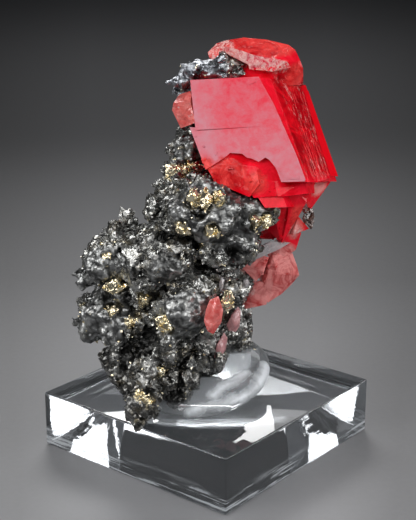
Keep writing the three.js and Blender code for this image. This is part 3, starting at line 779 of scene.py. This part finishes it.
def prism(outline, rise):
    """A closed prism round the outline, which reaches half of the rise to each side of it."""
    bpy.ops.mesh.primitive_cylinder_add(vertices=len(outline), radius=1, depth=1)
    piece = bpy.context.active_object
    for vertex in piece.data.vertices:
        around = math.atan2(vertex.co.x, vertex.co.y) % math.tau
        corner = round(around / math.tau * len(outline)) % len(outline)
        vertex.co = outline[corner] + rise * (0.5 if vertex.co.z > 0 else -0.5)
    edit(piece, lambda: bpy.ops.mesh.normals_make_consistent(inside=False))
    return piece


def joined(pieces, name):
    """All the pieces as one, with that name."""
    pick(pieces[0])
    for piece in pieces[1:]:
        piece.select_set(True)
    bpy.ops.object.join()
    pieces[0].name = name
    return pieces[0]


def lath(chance):
    """A lath that runs down one of the side's bands, at a place and of a size left to chance."""
    front, back = chance.choice(SIDE_BANDS)
    start, length = chance.uniform(0.02, 0.85), chance.uniform(0.06, 0.35)
    side, width = chance.uniform(0.15, 0.95), chance.uniform(0.04, 0.12)
    outline = []
    for along, beside in LATH_OUTLINE:
        down_share = min(start + along * length, 0.97)
        back_share = min(max(side + beside * width, 0), 1)
        near_edge, far_edge = (on_crystal(*top).lerp(on_crystal(*bottom), down_share)
                               for top, bottom in (front, back))
        outline.append(near_edge.lerp(far_edge, back_share))
    return prism(outline, ACROSS * chance.uniform(0.15, 0.5))


def growth_steps():
    """Laths that run down the main crystal's right side, and chips that lie on its face."""
    chance = random.Random(SIDE_SEED)
    steps = [lath(chance) for _ in range(SIDE_STEPS)]
    for corners in FACE_CHIPS:
        outline = [on_crystal(across, down, CHIP_BACK) for across, down in corners]
        steps.append(prism(outline, BACK * CHIP_THICKNESS))
    return joined(steps, "rhodochrosite_steps")


# Broken crystals: the fineness of the surface, and flat facets as size and slope
PYRITE_VOXEL, PYRITE_FACETS = 0.16, ((2, 0.34), (1, 0.1))
GRAIN_VOXEL, GRAIN_FACETS = 0.2, ((1.8, 0.4), (0.8, 0.2))


def broken_crystal(node, name, voxel, facets):
    """A CAD crystal with broken, flat-faceted sides."""
    crystal = copy_of(node, name)
    apply_modifier(crystal, "REMESH", mode="VOXEL", voxel_size=voxel)
    shape_by_nodes(crystal, lambda tree, start: lifted(
        tree, start, facet_lift(tree, tree.add("GeometryNodeInputPosition"), facets)))
    return crystal


def make_pyrite(material):
    """The pyrite crystals as crumpled lumps with sharp corners, in one piece."""
    nodes = sorted(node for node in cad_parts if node.startswith("pyrite_"))
    lumps = [broken_crystal(node, node + "_lump", PYRITE_VOXEL, PYRITE_FACETS) for node in nodes]
    settle(joined(lumps, "pyrite_lumps"), "pyrite", material, *nodes)


# Clear cushion and block

CUSHION_AT = (-0.7, -3.5, 16.4)
CUSHION_SIZE = (15.5, 13.9, 4)
CUSHION_TURN = math.radians(59)
CUSHION_RISE = math.radians(12)
CUSHION_FOOT = 12.7
CUSHION_FULLNESS = 0.2
BLOCK_EDGE = 0.4

# The waves of each surface: the pattern's stretch for each axis, and a depth
GEL_WAVES = [((0.17, 0.17, 0.17), 0.05)]
BLOCK_WAVES = [((0.07, 0.07, 0.07), 0.06), ((0.05, 0.05, 0.8), 0.03)]


def make_cushion(material):
    """A lens of clear gel with a full rim, pitched up to the back right and flat on the block."""
    bpy.ops.mesh.primitive_uv_sphere_add(segments=72, ring_count=32, radius=1)
    cushion = bpy.context.active_object
    cushion.name = "gel_cushion"
    for vertex in cushion.data.vertices:
        ring = math.hypot(vertex.co.x, vertex.co.y)
        if ring > 0.01:
            vertex.co.x *= ring ** -CUSHION_FULLNESS
            vertex.co.y *= ring ** -CUSHION_FULLNESS
    turned = Matrix.Rotation(CUSHION_TURN, 4, "Z") @ Matrix.Rotation(-CUSHION_RISE, 4, "Y")
    cushion.data.transform(Matrix.Translation(CUSHION_AT) @ turned @ Matrix.Diagonal((*CUSHION_SIZE, 1)))
    edit(cushion, lambda: bpy.ops.mesh.bisect(
        plane_co=(0, 0, CUSHION_FOOT), plane_no=(0, 0, -1), use_fill=True, clear_outer=True))
    settle(cushion, "cushion", material, "clear_cushion", smooth=50)


def make_block(material):
    """A clear block with softly rounded edges."""
    bpy.ops.mesh.primitive_cube_add(size=1)
    block = bpy.context.active_object
    block.name = "display_block"
    block.data.transform(TO_SPECIMEN @ Matrix.Scale(MM, 4)
                         @ Matrix.Translation((BLOCK_LOW + BLOCK_HIGH) / 2)
                         @ Matrix.Diagonal((*(BLOCK_HIGH - BLOCK_LOW), 1)))
    apply_modifier(block, "BEVEL", width=BLOCK_EDGE, segments=4)
    settle(block, "acrylic", material, "acrylic_block", smooth=40)


# Studio


# The lights: place, aim, size of the face, brightness, and spread in degrees
SOFTBOXES = {
    "key_softbox": ((-8, -256, 394), (0, 0, 50), (300, 300), 1.12, 110),
    "left_softbox": ((-300, -61, 110), (0, 0, 30), (160, 170), 1, 100),
    "right_softbox": ((300, 61, 110), (0, 0, 30), (160, 170), 1.1, 100),
    "back_softbox": ((-40, 300, 260), (0, 0, 25), (200, 120), 2.6, 100),
    "front_softbox": ((264, -165, 160), (0, 0, 55), (160, 160), 1.8, 100),
    "fill_softbox": ((-260, -200, 260), (0, 0, 55), (160, 160), 1.7, 80),
    "backdrop_softbox": ((0, 470, 340), (0, 450, 0), (500, 160), 2, 180),
}


def softbox(name, at, aim, size, radiance, spread):
    """A light at a place in millimetres, facing another, with that brightness all over its face."""
    lamp = bpy.data.lights.new(name, "AREA")
    lamp.shape = "RECTANGLE"
    lamp.size, lamp.size_y = (side * MM for side in size)
    lamp.spread = math.radians(spread)
    lamp.energy = radiance * math.pi * lamp.size * lamp.size_y
    light = bpy.data.objects.new(name, lamp)
    bpy.context.collection.objects.link(light)
    start, end = TO_FRAME @ Vector(at), TO_FRAME @ Vector(aim)
    facing = (end - start).to_track_quat("-Z", "Y").to_matrix().to_4x4()
    light.matrix_world = Matrix.Translation(start) @ facing


# The camera's place is counted from its aim. The focal length and the frame are in the same pixels.
CAMERA_DISTANCE = 276.6
CAMERA_ELEVATION = math.radians(18.13)
CAMERA_AIM = Vector((0.07, 0, 41.6))
FOCAL_PIXELS, FRAME_PIXELS = 1291.9, 520


def make_camera():
    """A camera that looks at the display side from a little above."""
    lens = bpy.data.cameras.new("camera")
    lens.lens = lens.sensor_width * FOCAL_PIXELS / FRAME_PIXELS
    lens.clip_start = 0.01
    camera = bpy.data.objects.new("camera", lens)
    bpy.context.collection.objects.link(camera)
    away = Vector((0, -math.cos(CAMERA_ELEVATION), math.sin(CAMERA_ELEVATION)))
    camera.location = TO_FRAME @ (CAMERA_AIM + away * CAMERA_DISTANCE)
    camera.rotation_euler = (math.pi / 2 - CAMERA_ELEVATION, 0, SPECIMEN_TURN)
    bpy.context.scene.camera = camera


FLOOR_MIDDLE = (0, -2800, -0.1)
FLOOR_SIZE = (8000, 7400)
SWEEP_RADIUS = 500
SWEEP_STEPS = 16
BACKDROP_HEIGHT = 1500


def make_floor(material):
    """A floor that sweeps up behind into a backdrop."""
    bpy.ops.mesh.primitive_plane_add(size=1)
    floor = bpy.context.active_object
    floor.name = "studio_floor"
    floor.data.transform(Matrix.Translation(FLOOR_MIDDLE) @ Matrix.Diagonal((*FLOOR_SIZE, 1, 1)))
    pick(floor)
    bpy.ops.object.mode_set(mode="EDIT")
    bpy.ops.mesh.select_all(action="DESELECT")
    bpy.ops.object.mode_set(mode="OBJECT")
    back = max(vertex.co.y for vertex in floor.data.vertices)
    for edge in floor.data.edges:
        edge.select = all(abs(floor.data.vertices[i].co.y - back) < 1 for i in edge.vertices)
    bpy.ops.object.mode_set(mode="EDIT")
    bpy.ops.mesh.select_mode(type="EDGE")
    for step in range(SWEEP_STEPS):
        angle = math.pi / 2 * (step + 0.5) / SWEEP_STEPS
        reach = SWEEP_RADIUS * math.pi / 2 / SWEEP_STEPS
        bpy.ops.mesh.extrude_region_move(TRANSFORM_OT_translate={
            "value": (0, reach * math.cos(angle), reach * math.sin(angle))})
    bpy.ops.mesh.extrude_region_move(TRANSFORM_OT_translate={"value": (0, 0, BACKDROP_HEIGHT)})
    bpy.ops.object.mode_set(mode="OBJECT")
    floor.data.transform(TO_FRAME)
    floor.data.materials.append(material)
    pick(floor)
    bpy.ops.object.shade_smooth()


def make_studio():
    """The camera, the floor, the lights and a faint glow from all round."""
    make_camera()
    make_floor(studio_floor("studio_paper"))
    for name, settings in SOFTBOXES.items():
        softbox(name, *settings)
    world = bpy.data.worlds.new("studio")
    world.use_nodes = True
    world.node_tree.nodes.clear()
    tree = Tree(world.node_tree)
    glow = tree.add("ShaderNodeBackground", None, {"Color": (0.9, 0.95, 1, 1), "Strength": 0.09})
    tree.add("ShaderNodeOutputWorld", None, {"Surface": glow})
    bpy.context.scene.world = world
    bpy.context.scene.view_settings.view_transform = "Standard"


# Assembly

make_studio()

red = grown_rhodochrosite("rhodochrosite_red")
coral = rhodochrosite("rhodochrosite_coral", light=(1, 0.29, 0.26), deep=(0.85, 0.1, 0.09),
                      white=(0.95, 0.8, 0.78), density=40)
pale = rhodochrosite("rhodochrosite_pale", light=(0.8, 0.42, 0.42), deep=(0.6, 0.26, 0.27),
                     white=(0.85, 0.7, 0.7), density=15)
grey = sulphide("sulphide_rock", dark=(0.095, 0.093, 0.085), pale=(0.62, 0.62, 0.6),
                rough=(0.12, 0.34), shade_low_places_by="lift")
bright = sulphide("sulphide_crystal", dark=(0.08, 0.079, 0.076), pale=(0.6, 0.6, 0.58),
                  rough=(0.08, 0.24))
brass = pyrite("pyrite_brass")
glassy = quartz("quartz_clear")

matrix = make_matrix()
shapes = crystal_shapes()
druse = strewn_on(matrix, "sulphide_crystals", shapes, druse_density, DRUSE_SIZES, DRUSE_SEED)
blades = strewn_on(matrix, "sulphide_blades", shapes, blade_density, BLADE_SIZES, BLADE_SEED)
flecks = strewn_on(matrix, "pyrite_flecks", shapes, fleck_density, FLECK_SIZES, FLECK_SEED)
settle(matrix, "sulphide", grey, "matrix", smooth=42)
settle(druse, "sulphide", bright, "matrix")
settle(blades, "sulphide", bright, "matrix")
settle(flecks, "pyrite", brass, "matrix")

cluster = worked_crystal("rhodochrosite_cluster", "rhodochrosite_crystals", CLUSTER_EDGE)
chips = strewn_on(cluster, "rhodochrosite_chips", shapes, chip_density, CHIP_SIZES, CHIP_SEED)
settle(cluster, "rhodochrosite", red, "rhodochrosite_cluster")
settle(growth_steps(), "rhodochrosite", red, "rhodochrosite_cluster")
settle(chips, "rhodochrosite", red, "rhodochrosite_cluster")
for node in ("rhodochrosite_left", "rhodochrosite_small"):
    settle(worked_crystal(node, node + "_crystal", SMALL_EDGE), "rhodochrosite_coral", coral, node)
for node in ("rhodochrosite_pale_upper", "rhodochrosite_pale_lower"):
    settle(worked_crystal(node, node + "_crystal", SMALL_EDGE), "rhodochrosite_pale", pale, node)
for node in ("quartz_blade", "quartz_grain_upper", "quartz_grain_right", "quartz_grain_lower"):
    settle(worked_crystal(node, node + "_crystal", QUARTZ_EDGE), "quartz", glassy, node)
grain = broken_crystal("sphalerite_grain", "sphalerite_crystal", GRAIN_VOXEL, GRAIN_FACETS)
settle(grain, "sphalerite", sphalerite("sphalerite_resin"), "sphalerite_grain")
make_pyrite(brass)

make_cushion(clear("gel_clear", 1.41, GEL_WAVES, roughness=0.02, tint=(0.998, 0.999, 1),
                   milk_and_highlight_share=gel_film_and_highlights))
make_block(clear("acrylic_clear", 1.49, BLOCK_WAVES, roughness=0.0, tint=(0.9, 0.905, 0.91),
                 milk_and_highlight_share=block_dust_and_light_bands))
